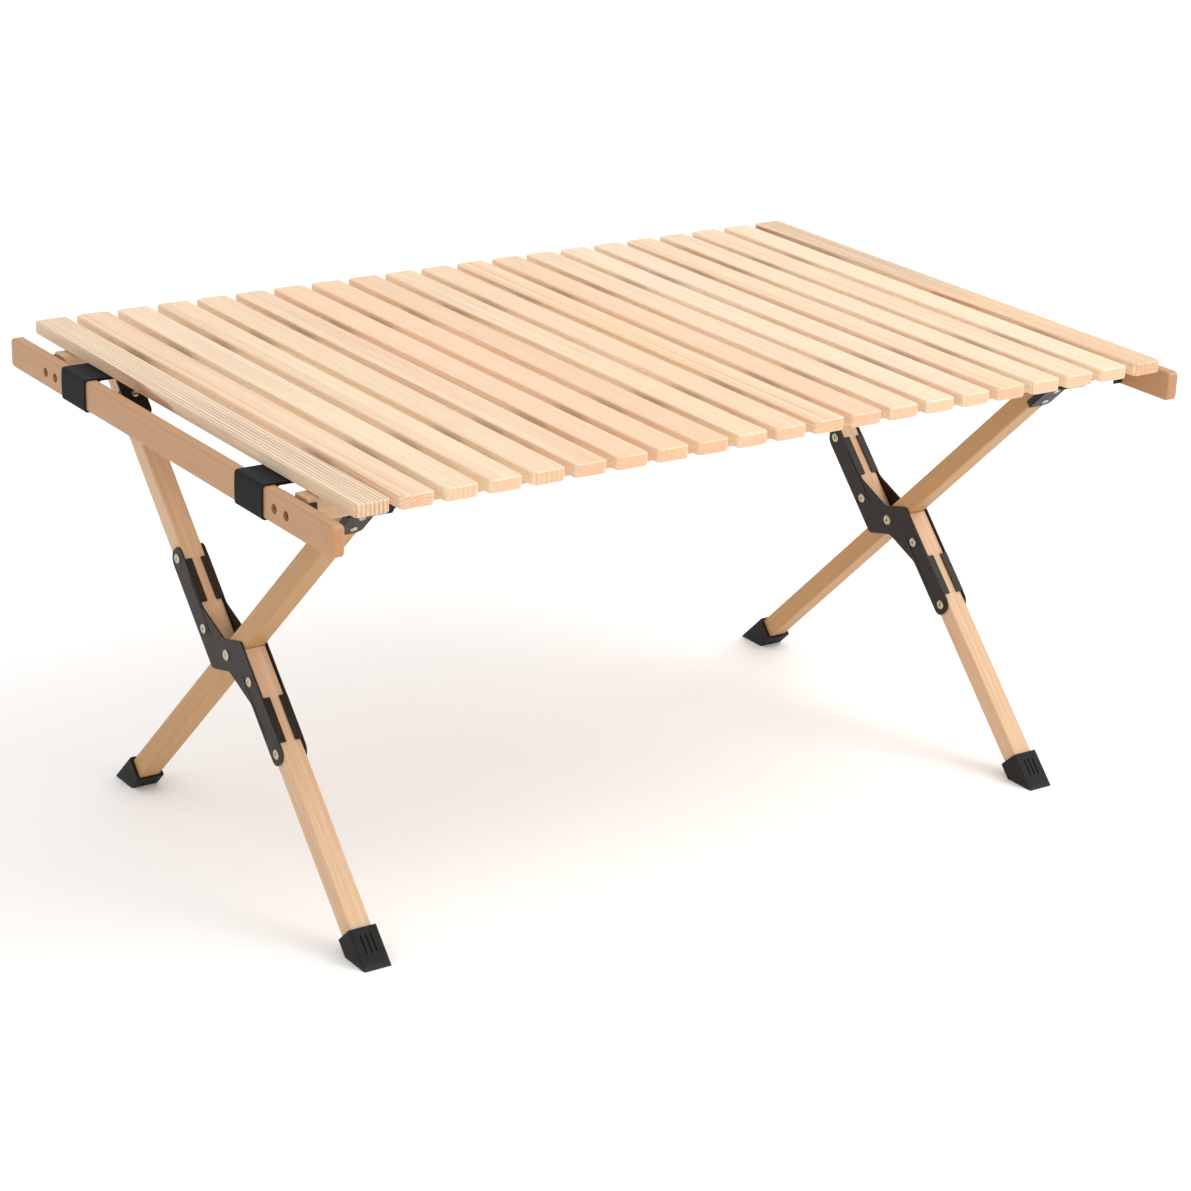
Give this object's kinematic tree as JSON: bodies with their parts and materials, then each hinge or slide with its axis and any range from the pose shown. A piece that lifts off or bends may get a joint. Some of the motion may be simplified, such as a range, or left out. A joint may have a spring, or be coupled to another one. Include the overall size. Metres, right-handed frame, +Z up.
{
  "type": "folding picnic table",
  "caption": "Low folding picnic table: a roll-up wooden slat top on webbing straps, laid over a scissor frame with stamped steel hub plates, corner brackets and rubber feet.",
  "frame": {"origin": "on the floor under the middle of the table, at the centre of its box", "axes": "+X along the table's length, +Y along the slats towards the back, +Z up"},
  "size_m": [0.937, 0.606, 0.454],
  "materials": {
    "slat_wood": "clear matt lacquer on pale straight-grained wood",
    "rail_wood": "clear satin lacquer on tan beech",
    "dark_steel": "brown-black baked enamel, satin",
    "nickel": "nickel-brass plated rivet heads",
    "rubber": "moulded matt black",
    "webbing": "fine black polyester weave"
  },
  "bodies": {
    "front_frame": {"front_long_rail": "rail_wood", "left_through_leg": "rail_wood", "left_back_foot_cap": "rubber", "left_front_corner_bracket": "dark_steel", "left_pivot_rivet": "nickel", "right_through_leg": "rail_wood", "right_back_foot_cap": "rubber", "right_front_corner_bracket": "dark_steel", "right_pivot_rivet": "nickel"},
    "back_frame": {"back_long_rail": "rail_wood", "left_upper_leg": "rail_wood", "left_lower_leg": "rail_wood", "left_front_foot_cap": "rubber", "left_back_corner_bracket": "dark_steel", "left_outer_hub_plate": "dark_steel", "left_inner_hub_plate": "dark_steel", "left_upper_inner_rivet": "nickel", "left_upper_outer_rivet": "nickel", "left_lower_inner_rivet": "nickel", "left_lower_outer_rivet": "nickel", "right_upper_leg": "rail_wood", "right_lower_leg": "rail_wood", "right_front_foot_cap": "rubber", "right_back_corner_bracket": "dark_steel", "right_outer_hub_plate": "dark_steel", "right_inner_hub_plate": "dark_steel", "right_upper_inner_rivet": "nickel", "right_upper_outer_rivet": "nickel", "right_lower_inner_rivet": "nickel", "right_lower_outer_rivet": "nickel"},
    "top_right_end": {"right_end_rail": "rail_wood", "right_front_keeper": "dark_steel", "right_back_keeper": "dark_steel", "front_strap": "webbing", "back_strap": "webbing"},
    "top_slat_21": {"slat_21": "slat_wood"},
    "top_slat_20": {"slat_20": "slat_wood"},
    "top_slat_19": {"slat_19": "slat_wood"},
    "top_slat_18": {"slat_18": "slat_wood"},
    "top_slat_17": {"slat_17": "slat_wood"},
    "top_slat_16": {"slat_16": "slat_wood"},
    "top_slat_15": {"slat_15": "slat_wood"},
    "top_slat_14": {"slat_14": "slat_wood"},
    "top_slat_13": {"slat_13": "slat_wood"},
    "top_slat_12": {"slat_12": "slat_wood"},
    "top_slat_11": {"slat_11": "slat_wood"},
    "top_slat_10": {"slat_10": "slat_wood"},
    "top_slat_09": {"slat_09": "slat_wood"},
    "top_slat_08": {"slat_08": "slat_wood"},
    "top_slat_07": {"slat_07": "slat_wood"},
    "top_slat_06": {"slat_06": "slat_wood"},
    "top_slat_05": {"slat_05": "slat_wood"},
    "top_slat_04": {"slat_04": "slat_wood"},
    "top_slat_03": {"slat_03": "slat_wood"},
    "top_slat_02": {"slat_02": "slat_wood"},
    "top_slat_01": {"slat_01": "slat_wood"},
    "top_left_end": {"left_end_rail": "rail_wood", "left_front_keeper": "dark_steel", "left_back_keeper": "dark_steel"}
  },
  "joints": [
    {"name": "top_lift", "type": "slide", "parent": "front_frame", "child": "top_right_end", "axis": [0, 0, 1], "range_m": [0, 0.45]},
    {"name": "frame_fold", "type": "hinge", "parent": "front_frame", "child": "back_frame", "pos_m": [0, 0, 0.2105], "axis": [1, 0, 0], "range_deg": [0, 84]},
    {"name": "top_roll_21", "type": "hinge", "parent": "top_right_end", "child": "top_slat_21", "pos_m": [0.44835, 0, 0.44095], "axis": [0, 1, 0], "range_deg": [0, 20], "deforming": ["front_strap", "back_strap"]},
    {"name": "top_roll_20", "type": "hinge", "parent": "top_slat_21", "child": "top_slat_20", "pos_m": [0.40565, 0, 0.44095], "axis": [0, 1, 0], "range_deg": [0, 22.5]},
    {"name": "top_roll_19", "type": "hinge", "parent": "top_slat_20", "child": "top_slat_19", "pos_m": [0.36295, 0, 0.44095], "axis": [0, 1, 0], "range_deg": [0, 22.9]},
    {"name": "top_roll_18", "type": "hinge", "parent": "top_slat_19", "child": "top_slat_18", "pos_m": [0.32025, 0, 0.44095], "axis": [0, 1, 0], "range_deg": [0, 23.3]},
    {"name": "top_roll_17", "type": "hinge", "parent": "top_slat_18", "child": "top_slat_17", "pos_m": [0.27755, 0, 0.44095], "axis": [0, 1, 0], "range_deg": [0, 23.7]},
    {"name": "top_roll_16", "type": "hinge", "parent": "top_slat_17", "child": "top_slat_16", "pos_m": [0.23485, 0, 0.44095], "axis": [0, 1, 0], "range_deg": [0, 24.1]},
    {"name": "top_roll_15", "type": "hinge", "parent": "top_slat_16", "child": "top_slat_15", "pos_m": [0.19215, 0, 0.44095], "axis": [0, 1, 0], "range_deg": [0, 24.6]},
    {"name": "top_roll_14", "type": "hinge", "parent": "top_slat_15", "child": "top_slat_14", "pos_m": [0.14945, 0, 0.44095], "axis": [0, 1, 0], "range_deg": [0, 25.1]},
    {"name": "top_roll_13", "type": "hinge", "parent": "top_slat_14", "child": "top_slat_13", "pos_m": [0.10675, 0, 0.44095], "axis": [0, 1, 0], "range_deg": [0, 25.6]},
    {"name": "top_roll_12", "type": "hinge", "parent": "top_slat_13", "child": "top_slat_12", "pos_m": [0.06405, 0, 0.44095], "axis": [0, 1, 0], "range_deg": [0, 26.1]},
    {"name": "top_roll_11", "type": "hinge", "parent": "top_slat_12", "child": "top_slat_11", "pos_m": [0.02135, 0, 0.44095], "axis": [0, 1, 0], "range_deg": [0, 26.8]},
    {"name": "top_roll_10", "type": "hinge", "parent": "top_slat_11", "child": "top_slat_10", "pos_m": [-0.02135, 0, 0.44095], "axis": [0, 1, 0], "range_deg": [0, 27.5]},
    {"name": "top_roll_09", "type": "hinge", "parent": "top_slat_10", "child": "top_slat_09", "pos_m": [-0.06405, 0, 0.44095], "axis": [0, 1, 0], "range_deg": [0, 28.1]},
    {"name": "top_roll_08", "type": "hinge", "parent": "top_slat_09", "child": "top_slat_08", "pos_m": [-0.10675, 0, 0.44095], "axis": [0, 1, 0], "range_deg": [0, 28.9]},
    {"name": "top_roll_07", "type": "hinge", "parent": "top_slat_08", "child": "top_slat_07", "pos_m": [-0.14945, 0, 0.44095], "axis": [0, 1, 0], "range_deg": [0, 29.6]},
    {"name": "top_roll_06", "type": "hinge", "parent": "top_slat_07", "child": "top_slat_06", "pos_m": [-0.19215, 0, 0.44095], "axis": [0, 1, 0], "range_deg": [0, 30.6]},
    {"name": "top_roll_05", "type": "hinge", "parent": "top_slat_06", "child": "top_slat_05", "pos_m": [-0.23485, 0, 0.44095], "axis": [0, 1, 0], "range_deg": [0, 31.5]},
    {"name": "top_roll_04", "type": "hinge", "parent": "top_slat_05", "child": "top_slat_04", "pos_m": [-0.27755, 0, 0.44095], "axis": [0, 1, 0], "range_deg": [0, 32.6]},
    {"name": "top_roll_03", "type": "hinge", "parent": "top_slat_04", "child": "top_slat_03", "pos_m": [-0.32025, 0, 0.44095], "axis": [0, 1, 0], "range_deg": [0, 33.8]},
    {"name": "top_roll_02", "type": "hinge", "parent": "top_slat_03", "child": "top_slat_02", "pos_m": [-0.36295, 0, 0.44095], "axis": [0, 1, 0], "range_deg": [0, 35.1]},
    {"name": "top_roll_01", "type": "hinge", "parent": "top_slat_02", "child": "top_slat_01", "pos_m": [-0.40565, 0, 0.44095], "axis": [0, 1, 0], "range_deg": [0, 36.7]},
    {"name": "top_roll_end", "type": "hinge", "parent": "top_slat_01", "child": "top_left_end", "pos_m": [-0.449, 0, 0.44095], "axis": [0, 1, 0], "range_deg": [0, 107]}
  ],
  "couplings": [
    {"joint": "frame_fold", "follows": "top_lift", "rad_per_m": 3.2579},
    {"joint": "top_roll_20", "follows": "top_roll_21", "ratio": 1.125},
    {"joint": "top_roll_19", "follows": "top_roll_21", "ratio": 1.145},
    {"joint": "top_roll_18", "follows": "top_roll_21", "ratio": 1.165},
    {"joint": "top_roll_17", "follows": "top_roll_21", "ratio": 1.185},
    {"joint": "top_roll_16", "follows": "top_roll_21", "ratio": 1.205},
    {"joint": "top_roll_15", "follows": "top_roll_21", "ratio": 1.23},
    {"joint": "top_roll_14", "follows": "top_roll_21", "ratio": 1.255},
    {"joint": "top_roll_13", "follows": "top_roll_21", "ratio": 1.28},
    {"joint": "top_roll_12", "follows": "top_roll_21", "ratio": 1.305},
    {"joint": "top_roll_11", "follows": "top_roll_21", "ratio": 1.34},
    {"joint": "top_roll_10", "follows": "top_roll_21", "ratio": 1.375},
    {"joint": "top_roll_09", "follows": "top_roll_21", "ratio": 1.405},
    {"joint": "top_roll_08", "follows": "top_roll_21", "ratio": 1.445},
    {"joint": "top_roll_07", "follows": "top_roll_21", "ratio": 1.48},
    {"joint": "top_roll_06", "follows": "top_roll_21", "ratio": 1.53},
    {"joint": "top_roll_05", "follows": "top_roll_21", "ratio": 1.575},
    {"joint": "top_roll_04", "follows": "top_roll_21", "ratio": 1.63},
    {"joint": "top_roll_03", "follows": "top_roll_21", "ratio": 1.69},
    {"joint": "top_roll_02", "follows": "top_roll_21", "ratio": 1.755},
    {"joint": "top_roll_01", "follows": "top_roll_21", "ratio": 1.835},
    {"joint": "top_roll_end", "follows": "top_roll_21", "ratio": 5.35}
  ]
}
